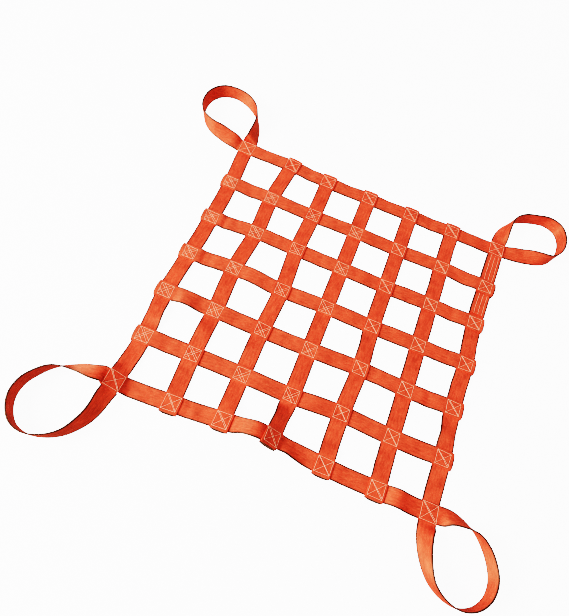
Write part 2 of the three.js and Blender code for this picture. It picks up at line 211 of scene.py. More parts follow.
def table_curve(places, values, first_slope=None, last_slope=None):
    """A smooth curve through a table of values, straight on past its ends"""
    spans = list(zip(places, places[1:], values, values[1:]))
    chords = [(after - before) / (end - start) for start, end, before, after in spans]
    slopes = [chords[0] if first_slope is None else first_slope]
    for i in range(1, len(spans)):
        before = places[i] - places[i - 1]
        after = places[i + 1] - places[i]
        slopes.append((chords[i - 1] * after + chords[i] * before) / (before + after))
    slopes.append(chords[-1] if last_slope is None else last_slope)

    def curve(place):
        if place <= places[0]:
            return values[0] + slopes[0] * (place - places[0])
        if place >= places[-1]:
            return values[-1] + slopes[-1] * (place - places[-1])
        i = max(k for k, start in enumerate(places[:-1]) if start <= place)
        return bend(places[i], values[i], slopes[i], places[i + 1], values[i + 1], slopes[i + 1], place)

    return curve


def ease(t):
    """From 0 to 1 with no slope at either end"""
    t = min(max(t, 0), 1)
    return t * t * (3 - 2 * t)


def slope_of(curve, place, step=0.5 * MM):
    """Slope of a curve at one place"""
    return (curve(place + step) - curve(place - step)) / (2 * step)


print("an ease at a quarter of its way:", ease(0.25))

# %% [markdown]
# ## Layers at the crossings
# The straps are woven before they are sewn, so a row is sometimes over and sometimes under a column. At
# the sides an inner strap wraps round the edge strap, which makes a stack of three layers. The splice on
# the right side, where the edge strap lies on its own end, adds one more.

# %% Layers at the crossings
SPLICE_ROW = 1

# Which strap is on top at the inner crossings of each row: R is the row, C is the column
WEAVE = {1: "RCRCR", 2: "RCRCR", 3: "RCRCR", 4: "RCRCR", 5: "CRCCR"}


def on_edge(index):
    """Whether a row or column runs along a side of the net"""
    return index in (0, LAST)


def row_layers(row, column):
    """Layers under a row strap at a crossing"""
    if (row, column) in CORNERS:
        return CORNERS[row, column]["row_level"]
    if on_edge(row):
        return 1
    if on_edge(column):
        return 3 if (row, column) == (SPLICE_ROW, LAST) else 2
    return int(WEAVE[row][column - 1] == "R")


def column_layers(row, column):
    """Layers under a column strap. On the right side this is the splice's lower ply."""
    if (row, column) == (0, LAST):
        return 0
    if (row, column) in CORNERS:
        return CORNERS[row, column]["column_level"]
    if on_edge(column):
        return 1
    if on_edge(row):
        return 2
    return int(WEAVE[row][column - 1] == "C")


print("layers under row 1:", [row_layers(1, column) for column in range(LAST + 1)])

# %% [markdown]
# ## Straps that lie on the grid
# Each crossing is a flat stack, on the floor or leaning above it. Between two stacks a strap comes down
# to the floor, and on the way it may buckle, roll to one side or flutter a little. A cloth simulation
# could settle the straps too, but not in the places that they have in the photograph, so their lie is
# worked out.
#
# A station says where the strap is at one place: its centre, the direction across it, the direction out
# of its top face, and how far its selvedges hold back, which they only do at a fold. Laying a strap then
# means moving one row of grid vertices to each station.

# %% Lie of a strap
# How far from the middle of a crossing its straps stay flat
FLAT = 29 * MM

# How far a strap takes to come down from a crossing, and the spans that start with a steeper fall
FALL_LENGTH = 46
STEEP = {("row", 2, 0): 20, ("row", 3, 0): 20, ("row", 6, 0): 16, ("row", 6, 1): 20, ("column", 0, 0): 24}

# (strap, index, span): rise between two crossings, roll in degrees, and how far along the span it peaks
MIDSPAN = 0.5
BUCKLES = {
    ("row", 3, 1): (6, 0, 0.4), ("row", 4, 0): (13, -10, 0.42), ("row", 6, 2): (10, -22, 0.42),
    ("row", 6, 3): (6, -20, 0.35), ("row", 6, 5): (16, 0, 0.34),
    ("column", 0, 1): (7, -14, 0.5), ("column", 1, 1): (4, 11, 0.6), ("column", 2, 1): (4, 10, 0.6),
    ("column", 3, 0): (4, 26, 0.5), ("column", 4, 2): (5, 13, 0.5), ("column", 6, 1): (6, 14, 0.5),
}

# Flutter of a span: its greatest height, the share of that by chance, its waves, and its roll in degrees
FLUTTER = 2 * MM
FLUTTER_SHARE = (0.3, 1)
FLUTTER_WAVES = (0.8, 2.2)
FLUTTER_ROLL = (-4, 4)

NO_HOLD = Vector((0, 0, 0))
Station = namedtuple("Station", "centre across up hold")
chance = random.Random(7)


def flutter():
    """The flutter of one span, by chance"""
    return {
        "height": FLUTTER * chance.uniform(*FLUTTER_SHARE), "count": chance.uniform(*FLUTTER_WAVES),
        "phase": chance.uniform(0, 2 * math.pi), "roll": chance.uniform(*FLUTTER_ROLL),
    }


class LyingStrap:
    """A strap in its own axes: rows run along X, columns along Y with -X across them"""

    def __init__(self, kind, index):
        self.kind = kind
        self.index = index
        self.knots = [self.knot(i) for i in range(LAST + 1)]
        self.end_slopes = [self.leg_slope(knot) for knot in (self.knots[0], self.knots[-1])]
        places = [knot["along"] for knot in self.knots]
        self.drift = table_curve(places, [knot["across"] for knot in self.knots], *self.end_slopes)
        self.waves = [flutter() for _ in range(LAST)]

    def knot(self, i):
        """One of the strap's crossings, in the strap's axes"""
        if self.kind == "row":
            row, column = self.index, i
            spot = crossings[row, column]
            along, across, pitch, roll = spot.x, spot.y, -spot.down_right, -spot.down_away
            level = row_layers(row, column)
        else:
            row, column = LAST - i, self.index
            spot = crossings[row, column]
            along, across, pitch, roll = spot.y, -spot.x, -spot.down_away, spot.down_right
            level = column_layers(row, column)
        return {
            "along": along, "across": across, "lift": spot.lift, "pitch": pitch, "roll": roll,
            "level": level, "stack": level * layer_height(spot), "corner": CORNERS.get((row, column)),
        }

    def leg_slope(self, knot):
        """The sideways slope that a corner gives to the strap's end"""
        corner = knot["corner"]
        if corner is None:
            return None
        turn = corner["row_turn"] if self.kind == "row" else -corner["column_turn"]
        return corner["right"] * corner["away"] * slope(turn)

    def joints(self):
        """Where an edge strap goes over into a loop"""
        first, last = [FLAT / math.hypot(1, leg) for leg in self.end_slopes]
        return self.knots[0]["along"] - first, self.knots[-1]["along"] + last

    def plane_height(self, knot, along):
        """Height of a crossing's plane on the strap's middle line"""
        ahead = along - knot["along"]
        aside = self.drift(along) - knot["across"]
        return knot["lift"] + knot["pitch"] * ahead + knot["roll"] * aside

    def plane_climb(self, knot, along):
        """Slope of a crossing's plane along the strap's middle line"""
        return slope_of(lambda place: self.plane_height(knot, place), along)

    def plane_roll(self, knot, along):
        """Slope of a crossing's plane across the strap"""
        return knot["roll"] - knot["pitch"] * slope_of(self.drift, along)

    def lie(self, along):
        """Height of the underside on the middle line, and the slope across the strap"""
        knots = self.knots
        nearest = min(knots, key=lambda knot: abs(along - knot["along"]))
        past_ends = along < knots[0]["along"] or along > knots[-1]["along"]
        if past_ends or abs(along - nearest["along"]) <= FLAT:
            return self.plane_height(nearest, along) + nearest["stack"], self.plane_roll(nearest, along)
        return self.span_lie(max(i for i, knot in enumerate(knots) if knot["along"] < along), along)

    def span_lie(self, span, along):
        """The same between two crossings"""
        start, end = self.knots[span], self.knots[span + 1]
        first, last = start["along"] + FLAT, end["along"] - FLAT
        fall = STEEP.get((self.kind, self.index, span), FALL_LENGTH) * MM
        climb = FALL_LENGTH * MM
        height = bend(
            first, self.plane_height(start, first), self.plane_climb(start, first),
            last, self.plane_height(end, last), self.plane_climb(end, last), along,
        )
        if along < first + fall:
            height += bend(first, start["stack"], 0, first + fall, 0, 0, along)
        if along > last - climb:
            height += bend(last - climb, 0, 0, last, end["stack"], 0, along)
        across = self.plane_roll(start, first) * (1 - ease((along - first) / fall))
        across += self.plane_roll(end, last) * ease(1 - (last - along) / climb)

        wave = self.waves[span]
        rise, roll, peak = BUCKLES.get((self.kind, self.index, span), (0, wave["roll"], MIDSPAN))
        t = (along - first) / (last - first)
        buckle = math.sin(math.pi * t ** (math.log(MIDSPAN) / math.log(peak))) ** 2
        swing = wave["height"] * (1 + math.sin(2 * math.pi * wave["count"] * t + wave["phase"])) / 2
        across += slope(roll) * buckle
        height += (max(rise * MM, abs(slope(roll)) * HALF) + swing) * buckle
        return max(height, abs(across) * HALF), across

    def station(self, along, lift=0):
        """The strap at one place, in the net's axes"""
        turn = slope_of(self.drift, along)
        height, roll = self.lie(along)
        climb = slope_of(lambda place: self.lie(place)[0], along)
        across = Vector((-turn, 1, roll)).normalized()
        up = Vector((1, turn, climb)).cross(across).normalized()
        centre = Vector((along, self.drift(along), height + lift + THICKNESS / 2))
        if self.kind == "row":
            return Station(centre, across, up, NO_HOLD)
        quarter = Matrix.Rotation(math.pi / 2, 3, "Z")
        return Station(quarter @ centre, quarter @ across, quarter @ up, NO_HOLD)


rows = [LyingStrap("row", i) for i in range(LAST + 1)]
columns = [LyingStrap("column", i) for i in range(LAST + 1)]
print("lying straps:", len(rows) + len(columns))

# %% [markdown]
# ## The way of the edge strap
# The edge strap is one length of webbing. It starts as the lower ply of the splice, runs down the right
# side, through the near right loop, along the near side and so on round the net, and ends on top of its
# own start. It could be made as separate sides and loops, but then the weave would break where they join.
# So its stations are collected in that order, and it is laid in one go.

# %% Way of a loop
STEP = 3 * MM
LOOP_STEP = 5 * MM
UP = Vector((0, 0, 1))


def even_places(start, end, step):
    """Places from start to end, about a step apart"""
    return [float(place) for place in np.linspace(start, end, max(2, round(abs(end - start) / step) + 1))]


def leg_end(turn, is_row):
    """A leg's direction and the start of its outer edge, in the corner's own axes"""
    angle = math.radians(turn)
    ahead = Vector((math.cos(angle), math.sin(angle)))
    outer = Vector((math.sin(angle), -math.cos(angle)))
    edge = ahead * (FLAT + CLEARANCE) + outer * HALF
    return (ahead, edge) if is_row else (ahead.yx, edge.yx)


def loop_stations(row, column):
    """A loop from leg to leg. The legs start in the plane of the corner and come down as they twist, and
    the rest stands on its lower edge."""
    corner = CORNERS[row, column]
    spot = crossings[row, column]
    row_climb = -spot.down_right * corner["right"]
    column_climb = -spot.down_away * corner["away"]
    leaving, first = leg_end(corner["row_turn"], True)
    arriving, last = leg_end(corner["column_turn"], False)
    table = [
        (first.x, first.y, math.degrees(math.atan(column_climb))),
        *[(out * MM, past * MM, lean) for out, past, lean in corner["path"]],
        (last.x, last.y, math.degrees(math.atan(row_climb))),
    ]
    places = [0]
    for before, after in zip(table, table[1:]):
        places.append(places[-1] + math.dist(before[:2], after[:2]))
    end = places[-1]
    outs, pasts, leans = zip(*table)
    out = table_curve(places, outs, leaving.x, -arriving.x)
    past = table_curve(places, pasts, leaving.y, -arriving.y)
    lean = table_curve(places, leans, 0, 0)
    layer = layer_height(spot)
    row_height = corner["row_level"] * layer + spot.lift + row_climb * FLAT - column_climb * HALF
    column_height = corner["column_level"] * layer + spot.lift + column_climb * FLAT - row_climb * HALF
    fall = corner["fall"] * MM

    def lift(place):
        if place < fall:
            return bend(0, row_height, row_climb + slope(corner["row_rise"]), fall, 0, 0, place)
        if place > end - fall:
            return bend(end - fall, 0, 0, end, column_height, -column_climb, place)
        return 0

    middle = Vector((spot.x, spot.y, 0))
    mirror = Matrix.Diagonal((corner["right"], corner["away"], 1))
    stations = []
    for place in even_places(0, end, LOOP_STEP):
        ahead = Vector((slope_of(out, place), slope_of(past, place), 0)).normalized()
        angle = math.radians(lean(place))
        across = UP.cross(ahead) * math.cos(angle) + UP * math.sin(angle)
        up = ahead.cross(across).normalized()
        rest = max(lift(place), 0) + abs(math.cos(angle)) * THICKNESS / 2
        centre = Vector((out(place), past(place), rest)) + across * HALF
        stations.append(Station(mirror @ centre + middle, mirror @ across, mirror @ up, NO_HOLD))
    return stations[::-1] if corner["right"] * corner["away"] < 0 else stations


print("stations of a loop:", len(loop_stations(0, 0)))

# %% Way of the edge strap
# How far from a crossing each ply of the splice ends
SPLICE_STOP = HALF + 8 * MM


def side_stations(strap, start, end, lift=0):
    """Stations from start to end. Going backwards turns the direction across round as well."""
    stations = [strap.station(place, lift) for place in even_places(start, end, STEP)]
    if end > start:
        return stations
    return [station._replace(across=-station.across) for station in stations]


left_joints = columns[0].joints()
right_joints = columns[LAST].joints()
far_joints = rows[0].joints()
near_joints = rows[LAST].joints()
lower_ply_end = columns[LAST].knots[-1]["along"] - SPLICE_STOP
upper_ply_end = columns[LAST].knots[LAST - SPLICE_ROW - 1]["along"] + SPLICE_STOP
edge_way = [
    *side_stations(columns[LAST], lower_ply_end, right_joints[0]),
    *loop_stations(LAST, LAST),
    *side_stations(rows[LAST], near_joints[1], near_joints[0]),
    *loop_stations(LAST, 0),
    *side_stations(columns[0], left_joints[0], left_joints[1]),
    *loop_stations(0, 0),
    *side_stations(rows[0], far_joints[0], far_joints[1]),
    *loop_stations(0, LAST),
    *side_stations(columns[LAST], right_joints[1], upper_ply_end, LEVEL),
]
print("stations of the edge strap:", len(edge_way))

# %% [markdown]
# ## The way of an inner strap
# An inner strap passes over the edge strap, folds round its outer side and ends underneath, where the
# seam holds it. At the fold the strap is drawn in a little and its selvedges hold back. A plain half turn
# would have sharp corners, and this rounds them.

# %% Way of an inner strap
FOLD_PAST = 3 * MM
FOLD_STEPS = 10
FOLD_UNDER = 52 * MM
FOLD_DRAW_IN = 0.05
FOLD_ROUND = 4.5 * MM


def fold(strap, knot, outward):
    """The half turn round the edge strap and the end underneath it, from the top down"""
    centre, across, top, _ = strap.station(knot["along"] + outward * (HALF + FOLD_PAST))
    out = across.cross(top) * outward
    radius = knot["level"] * LEVEL / 2
    axis = centre - top * radius
    stations = []
    for step in range(FOLD_STEPS + 1):
        angle = math.pi * step / FOLD_STEPS
        up = out * math.sin(angle) + top * math.cos(angle)
        drawn_in = 1 - FOLD_DRAW_IN * math.sin(angle)
        hold = -out * FOLD_ROUND * math.sin(angle)
        stations.append(Station(axis + up * radius, across * drawn_in, up, hold))
    bottom = stations[-1].centre
    for under in even_places(0, FOLD_UNDER, STEP)[1:]:
        stations.append(Station(bottom - out * under, across, -top, NO_HOLD))
    return stations


def inner_way(strap):
    """Stations of an inner strap from one end to the other"""
    first, last = strap.knots[0], strap.knots[-1]
    reach = HALF + FOLD_PAST
    top = side_stations(strap, first["along"] - reach, last["along"] + reach)[1:-1]
    return [*fold(strap, first, -1)[::-1], *top, *fold(strap, last, 1)]


print("stations of an inner strap:", len(inner_way(rows[1])))

# %% [markdown]
# ## Seams
# Each crossing is sewn on a pattern machine: round a square just inside the selvedges, then along both
# diagonals, and part of the way again beside them, more often in the columns on the left. The squares are
# larger on the near and far sides, and largest at the corners. The splice has long lines of stitching. No
# two seams sit quite alike, so each corner of a seam strays a little by chance. The seams are planned
# before the webbing is laid, because the thread pulls the webbing in along its lines.

# %% Plan the seams
SEAM_HALF = 19.5 * MM
EDGE_SEAM_HALF = 21 * MM
CORNER_SEAM_HALF = 23 * MM
SEAM_STRAY = 1.3 * MM

# How far the further passes lie beside the diagonals: for each column, and on the near and far sides
PASSES = [(-9, -4, 4), (-9, -4, 4), (-5, 4), (-5, 4), (1.6,), (1.6,), (1.6,)]
EDGE_PASSES = (1.6,)


def stray(x, y, most=SEAM_STRAY):
    """A point moved a little by chance"""
    return x + chance.uniform(-most, most), y + chance.uniform(-most, most)


def box_seam(x, y, half, passes):
    """Lines of a square with two diagonals, and of more passes, by turns beside one and the other"""
    square = [(-1, 1), (1, 1), (1, -1), (-1, -1)]
    corners = [stray(x + side * half, y + end * half) for side, end in square]
    sides = list(zip(corners, corners[1:] + corners[:1]))
    lines = [*sides, (corners[0], corners[2]), (corners[1], corners[3])]
    for i, aside in enumerate([step * MM for step in passes]):
        turn = 1 if i % 2 else -1
        reach = half - abs(aside)
        start = stray(x + aside - reach, y - turn * (aside + reach))
        lines.append((start, stray(x + aside + reach, y - turn * (aside - reach))))
    return lines


def top_strap(row, column):
    """The strap on top of a crossing, and its lift over its own lie"""
    if (row, column) == (0, LAST):
        return columns[LAST], LEVEL
    if (row, column) in CORNERS:
        return (rows[row] if CORNERS[row, column]["row_level"] else columns[column]), 0
    if on_edge(row) or (not on_edge(column) and WEAVE[row][column - 1] == "C"):
        return columns[column], 0
    return rows[row], 0


def plan_seam(row, column):
    """A seam's lines, its strap, and how far its top and its underside lie over that strap's own lie"""
    spot = crossings[row, column]
    strap, top = top_strap(row, column)
    height, _ = strap.lie(spot.x if strap.kind == "row" else spot.y)
    if (row, column) in CORNERS:
        lines = box_seam(spot.x, spot.y, CORNER_SEAM_HALF, EDGE_PASSES)
    elif on_edge(row):
        lines = box_seam(spot.x, spot.y, EDGE_SEAM_HALF, EDGE_PASSES)
    else:
        lines = box_seam(spot.x, spot.y, SEAM_HALF, PASSES[column])
    return {"strap": strap, "top": top, "under": spot.lift - height, "lines": lines}


seams = {row: [plan_seam(row, column) for column in range(LAST + 1)] for row in range(LAST + 1)}
print("lines in the seams:", sum(len(seam["lines"]) for row in seams.values() for seam in row))

# %% Plan the splice
SPLICE_LINES = (-15 * MM, -2 * MM, 11 * MM)
SPLICE_STEP = 12 * MM
SPLICE_STRAY = SEAM_STRAY / 3


def splice_seam(start, end):
    """Long lines on the upper ply, between two places along the right side"""
    strap = columns[LAST]
    lines = []
    for across in SPLICE_LINES:
        points = []
        for along in even_places(start, end, SPLICE_STEP):
            points.append(stray(-strap.drift(along) - across, along, SPLICE_STRAY))
        lines += list(zip(points, points[1:]))
    return {"strap": strap, "top": LEVEL, "under": 0, "lines": lines}


far_end, middle_seam = [columns[LAST].knots[LAST - row]["along"] for row in (0, SPLICE_ROW)]
splice = [
    splice_seam(middle_seam + FLAT, far_end - FLAT),
    splice_seam(upper_ply_end + SEAM_STRAY, middle_seam - FLAT),
]
print("lines in the splice:", sum(len(seam["lines"]) for seam in splice))

# %% [markdown]
# ## What the webbing knows of its place
# Thread pulls the webbing in, so beside a line of stitches it is thinner. The finish paints a dark shade
# on selvedges that lie free, and less where another strap covers them. Both are worked out for each
# vertex from its place in the net. They could be painted by hand as weight paint, but the seams are
# lines already, so code can measure.

# %% Fullness and freedom
SEAM_PULL = 0.22
SEAM_REACH = 2.4 * MM
FREE_FADE = 4 * MM


def fullness(points):
    """How full the webbing is at each point, from 1 down to 1 - SEAM_PULL on a line of stitches"""
    full = np.ones(len(points))
    for seam in [seam for row in seams.values() for seam in row] + splice:
        starts = np.array([line[0] for line in seam["lines"]])
        ends = np.array([line[1] for line in seam["lines"]])
        low = np.minimum(starts, ends).min(0) - SEAM_REACH
        high = np.maximum(starts, ends).max(0) + SEAM_REACH
        near = np.flatnonzero(((points > low) & (points < high)).all(1))
        if not len(near):
            continue
        lines = ends - starts
        off = points[near, None] - starts
        t = np.clip((off * lines).sum(2) / (lines * lines).sum(1), 0, 1)
        gap = np.linalg.norm(off - t[..., None] * lines, axis=2).min(1)
        full[near] = 1 - SEAM_PULL * np.exp(-((gap / SEAM_REACH) ** 2))
    return full


def freedom(points):
    """How free the webbing is of other straps at each point, from 0 on a crossing to 1 beyond it"""
    free = np.ones(len(points))
    for spot in crossings.values():
        off = np.abs(points - (spot.x, spot.y)).max(1)
        free = np.minimum(free, np.clip((off - HALF) / FREE_FADE, 0, 1))
    return free


print("freedom at the middle of the net:", freedom(np.zeros((1, 2)))[0])

# %% [markdown]
# ## Laying the webbing
# A strap starts as a flat grid as long and as wide as the strap. Its UV map is its length and width in
# metres, so that the weave follows it round every bend. The grid's vertices then move to their stations.
# A Solidify modifier gives the thickness, less of it along the seams, where a vertex group holds how full
# the webbing is, and a Bevel rounds the selvedges. Two attributes, free and crown, tell the finish where
# the webbing lies free and where it goes round a fold.

# %% Lay the webbing
GRID_ACROSS = 16
HOLD_POWER = 4
SELVEDGE = 1.1 * MM
SELVEDGE_ANGLE = math.radians(50)


def thicken(strap, full):
    """Gives a laid strap its thickness, as full as it is at each vertex, and rounds its selvedges"""
    group = strap.vertex_groups.new(name="fullness")
    for vertex, weight in enumerate(full):
        group.add([vertex], weight, "REPLACE")
    thickness = strap.modifiers.new("thickness", "SOLIDIFY")
    thickness.thickness = THICKNESS
    thickness.offset = 0
    thickness.vertex_group = group.name
    selvedge = strap.modifiers.new("selvedge", "BEVEL")
    selvedge.width = SELVEDGE
    selvedge.segments = 2
    selvedge.limit_method = "ANGLE"
    selvedge.angle_limit = SELVEDGE_ANGLE
    for modifier in (thickness.name, selvedge.name):
        bpy.ops.object.modifier_apply(modifier=modifier)


def lay_webbing(name, stations):
    """A strap of webbing through its stations, and its length"""
    parts = [np.array([tuple(vector) for vector in part]) for part in zip(*stations)]
    centres, acrosses, _, holds = parts
    steps = np.linalg.norm(np.diff(centres, axis=0), axis=1)
    lengths = np.concatenate(([0], np.cumsum(steps)))
    bpy.ops.object.select_all(action="DESELECT")
    bpy.ops.mesh.primitive_grid_add(x_subdivisions=len(stations) - 1, y_subdivisions=GRID_ACROSS, size=1)
    strap = bpy.context.object
    strap.name = name
    mesh = strap.data
    flat = np.empty(len(mesh.vertices) * 3)
    mesh.vertices.foreach_get("co", flat)
    flat = flat.reshape(-1, 3)
    index = np.rint((flat[:, 0] + 0.5) * (len(stations) - 1)).astype(int)
    across = flat[:, 1] * WIDTH
    held_back = holds[index] * (across / HALF)[:, None] ** HOLD_POWER
    places = centres[index] + acrosses[index] * across[:, None] + held_back
    mesh.vertices.foreach_set("co", places.ravel())
    corner_vertices = np.empty(len(mesh.loops), int)
    mesh.loops.foreach_get("vertex_index", corner_vertices)
    uv = np.stack((lengths[index], across), axis=1)[corner_vertices]
    mesh.uv_layers.active.data.foreach_set("uv", uv.ravel())
    crowns = np.linalg.norm(holds, axis=1)[index] / FOLD_ROUND
    on_floor = places[:, :2]
    mesh.attributes.new("free", "FLOAT", "POINT").data.foreach_set("value", freedom(on_floor))
    mesh.attributes.new("crown", "FLOAT", "POINT").data.foreach_set("value", crowns)
    thicken(strap, fullness(on_floor))
    bpy.ops.object.shade_smooth()
    print(name, "length, m:", round(lengths[-1], 3), "faces:", len(mesh.polygons))
    return strap, float(lengths[-1])


edge_strap, edge_length = lay_webbing("edge_strap", edge_way)
inner_straps = []
for i in range(1, LAST):
    inner_straps.append((f"row_strap_{i}", *lay_webbing(f"row_webbing_{i}", inner_way(rows[i]))))
    inner_straps.append((f"column_strap_{i}", *lay_webbing(f"column_webbing_{i}", inner_way(columns[i]))))

# %% [markdown]
# ## Sewing
# A stitch of thick thread comes up out of the webbing, lies on it for a few millimetres and goes down
# again. Stitches could be drawn in the webbing's finish, but real ones stand up and catch the light. One
# stitch is modelled from a small sphere, drawn out and sunk at both ends. It is then copied along every
# line, on the top and on the underside, as one mesh for each row of seams, because thousands of objects
# would be slow.

# %% Model one stitch
STITCH = 4.4 * MM
THREAD = 1.2 * MM
STITCH_OVERLAP = 1.25
STITCH_SUNK = 0.15 * MM
STITCH_SKEW = math.radians(5)
STITCH_STRAY = 0.2 * MM


def model_stitch():
    """Points and faces of one stitch along X, on a surface whose normal is Z"""
    bpy.ops.object.select_all(action="DESELECT")
    bpy.ops.mesh.primitive_uv_sphere_add(segments=5, ring_count=4, radius=0.5)
    stitch = bpy.context.object
    bpy.ops.transform.rotate(value=math.pi / 2, orient_axis="Y", center_override=(0, 0, 0))
    bpy.ops.object.transform_apply(location=False, rotation=True, scale=False)
    points = np.array([tuple(vertex.co) for vertex in stitch.data.vertices])
    # A new sphere's faces come in no fixed order, so they are sorted to make every run alike
    faces = sorted(tuple(face.vertices) for face in stitch.data.polygons)
    bpy.data.objects.remove(stitch)
    return points * (STITCH * STITCH_OVERLAP, THREAD, THREAD), faces


stitch_points, stitch_faces = model_stitch()
print("faces of a stitch:", len(stitch_faces))

# %% Sew the seams


def on_surface(strap, x, y, lift, side):
    """A point of the strap's top or underside, and the direction out of it"""
    along, target = (x, y) if strap.kind == "row" else (y, -x)
    centre, across, up, _ = strap.station(along, lift)
    off = (target - strap.drift(along)) * across
    return centre + off + up * side * (THICKNESS / 2 * (1 - SEAM_PULL)), up * side


def stitches(seam):
    """The place, the run and the direction out of every stitch, on the top and then on the underside"""
    for side, lift in ((1, seam["top"]), (-1, seam["under"])):
        for start, end in seam["lines"]:
            line = Vector((end[0] - start[0], end[1] - start[1], 0))
            count = max(1, round(math.dist(start, end) / STITCH))
            for i in range(count):
                t = (i + 0.5) / count
                x, y = [a + (b - a) * t for a, b in zip(start, end)]
                place, out = on_surface(seam["strap"], *stray(x, y, STITCH_STRAY), lift, side)
                run = Quaternion(UP, chance.uniform(-STITCH_SKEW, STITCH_SKEW)) @ line
                run = (run - out * run.dot(out)).normalized()
                yield place + out * (THREAD / 2 - STITCH_SUNK), run, out


def sew(name, seams_of_piece):
    """One mesh with every stitch of some seams"""
    points = []
    faces = []
    for seam in seams_of_piece:
        for place, run, out in stitches(seam):
            first = len(points) * len(stitch_points)
            faces += [tuple(first + vertex for vertex in face) for face in stitch_faces]
            turn = np.array(Matrix((run, out.cross(run), out)))
            points.append(stitch_points @ turn + np.array(place))
    mesh = bpy.data.meshes.new(name)
    mesh.from_pydata(np.concatenate(points).tolist(), [], faces)
    thread = bpy.data.objects.new(name, mesh)
    bpy.context.collection.objects.link(thread)
    bpy.ops.object.select_all(action="DESELECT")
    thread.select_set(True)
    bpy.context.view_layer.objects.active = thread
    bpy.ops.object.shade_smooth()
    print(name, "stitches:", len(points))
    return thread


row_seams = [sew(f"seams_row_{row}", seams_of_row) for row, seams_of_row in seams.items()]
splice_thread = sew("splice_seam", splice)

# %% [markdown]
# ## Helpers for finishes
# A finish is a material made of nodes. Nodes can be placed by hand in the shader editor, and code does
# the same with one function that adds a node and links it. Values that are the same all over a surface
# are set on the shader itself. Colours are written as they look on a screen and turned to linear ones.

# %% Helpers for finishes
# Sockets of a Mix node that mixes colours
MIX_A = 6
MIX_B = 7
MIX_RESULT = 2


def linear(hex_colour):
    """An sRGB hex value as the linear colour that a shader needs"""
    channels = [int(hex_colour[i:i + 2], 16) / 255 for i in (1, 3, 5)]
    return (*[c / 12.92 if c <= 0.04045 else ((c + 0.055) / 1.055) ** 2.4 for c in channels], 1)


def add_node(tree, kind, settings=None, sockets=None):
    """A node with its settings, and its inputs set to values or linked to other nodes' outputs"""
    node = tree.nodes.new(kind)
    for key, value in (settings or {}).items():
        setattr(node, key, value)
    for key, value in (sockets or {}).items():
        if isinstance(value, bpy.types.NodeSocket):
            tree.links.new(value, node.inputs[key])
        else:
            node.inputs[key].default_value = value
    return node


def new_material(name, values):
    """A material, its node tree and its shader, with the values that hold all over the surface"""
    material = bpy.data.materials.new(name)
    material.use_nodes = True
    shader = material.node_tree.nodes["Principled BSDF"]
    for socket, value in values.items():
        shader.inputs[socket].default_value = value
    return material, material.node_tree, shader


print("linear mid grey:", round(linear("#808080")[0], 3))

# %% [markdown]
# ## Woven polyester webbing
# Webbing for slings is woven from high tenacity polyester yarn, dyed in the yarn. The eye sees short
# floats in a fine herringbone, streaks along the length, cloudy differences in shade, and a soft sheen
# that is stronger on straps that lie across the light. The free selvedges and the crowns of the folds
# get a painted dark shade, which stands in for the shadow at their edges. The weave is a brick pattern
# on the UV map, shifted back and forth across the strap, because that needs no picture and follows
# every bend.

# %% Herringbone
# Real floats are half this size. They are drawn coarser, so that the weave still shows in the picture.
FLOAT_LENGTH = 4 * MM
YARN = 1.6 * MM
YARN_GAP = 0.4 * MM
CHEVRON = 12.5 * MM


def herringbone(tree, strap):
    """Floats of two shades with dark gaps, as bricks that shift back and forth across the strap"""
    zigzag = add_node(
        tree, "ShaderNodeMath", {"operation": "PINGPONG"}, {0: strap.outputs["Y"], 1: CHEVRON / 2}
    )
    shifted = add_node(
        tree, "ShaderNodeMath", {"operation": "ADD"}, {0: strap.outputs["X"], 1: zigzag.outputs["Value"]}
    )
    twill = add_node(
        tree, "ShaderNodeCombineXYZ", None, {"X": shifted.outputs["Value"], "Y": strap.outputs["Y"]}
    )
    return add_node(
        tree, "ShaderNodeTexBrick", {"offset": 0, "offset_frequency": 2},
        {
            "Vector": twill.outputs["Vector"], "Scale": 1, "Brick Width": FLOAT_LENGTH, "Row Height": YARN,
            "Mortar Size": YARN_GAP, "Mortar Smooth": 1, "Bias": 0,
            "Color1": linear("#ef4e35"), "Color2": linear("#d93b28"), "Mortar": linear("#b52d1e"),
        },
    )


print("yarns across a strap:", round(WIDTH / YARN))

# %% Streaks and clouds
# Both are about 0.5 on average. Their sum in the first range gives shades in the second.
STREAK = 25 * MM
STREAK_WIDTH = 5 * MM
CLOUD = 40 * MM
UNEVEN = (0.65, 1.35)
SHADES = (0.5, 1.4)


def uneven_dye(tree, coordinates):
    """Shades of the dye, in streaks along the strap and in clouds"""
    along = add_node(
        tree, "ShaderNodeMapping", None,
        {"Vector": coordinates.outputs["UV"], "Scale": (1 / STREAK, 1 / STREAK_WIDTH, 1)},
    )
    streak = add_node(
        tree, "ShaderNodeTexNoise", None, {"Vector": along.outputs["Vector"], "Scale": 1, "Detail": 3}
    )
    cloud = add_node(
        tree, "ShaderNodeTexNoise", None,
        {"Vector": coordinates.outputs["Object"], "Scale": 1 / CLOUD, "Detail": 4, "Roughness": 0.6},
    )
    uneven = add_node(
        tree, "ShaderNodeMath", {"operation": "ADD"}, {0: streak.outputs["Fac"], 1: cloud.outputs["Fac"]}
    )
    return add_node(
        tree, "ShaderNodeMapRange", None,
        {
            "Value": uneven.outputs["Value"], "From Min": UNEVEN[0], "From Max": UNEVEN[1],
            "To Min": SHADES[0], "To Max": SHADES[1],
        },
    )


print("streaks across a strap:", round(WIDTH / STREAK_WIDTH))

# %% Painted shade at the edges
# Where the painted shade starts and is full: in from the selvedge, and up the crown of a fold
SELVEDGE_BAND = 4.2 * MM
SELVEDGE_DARK = 2.7 * MM
CROWN_DARK = (0.05, 0.35)


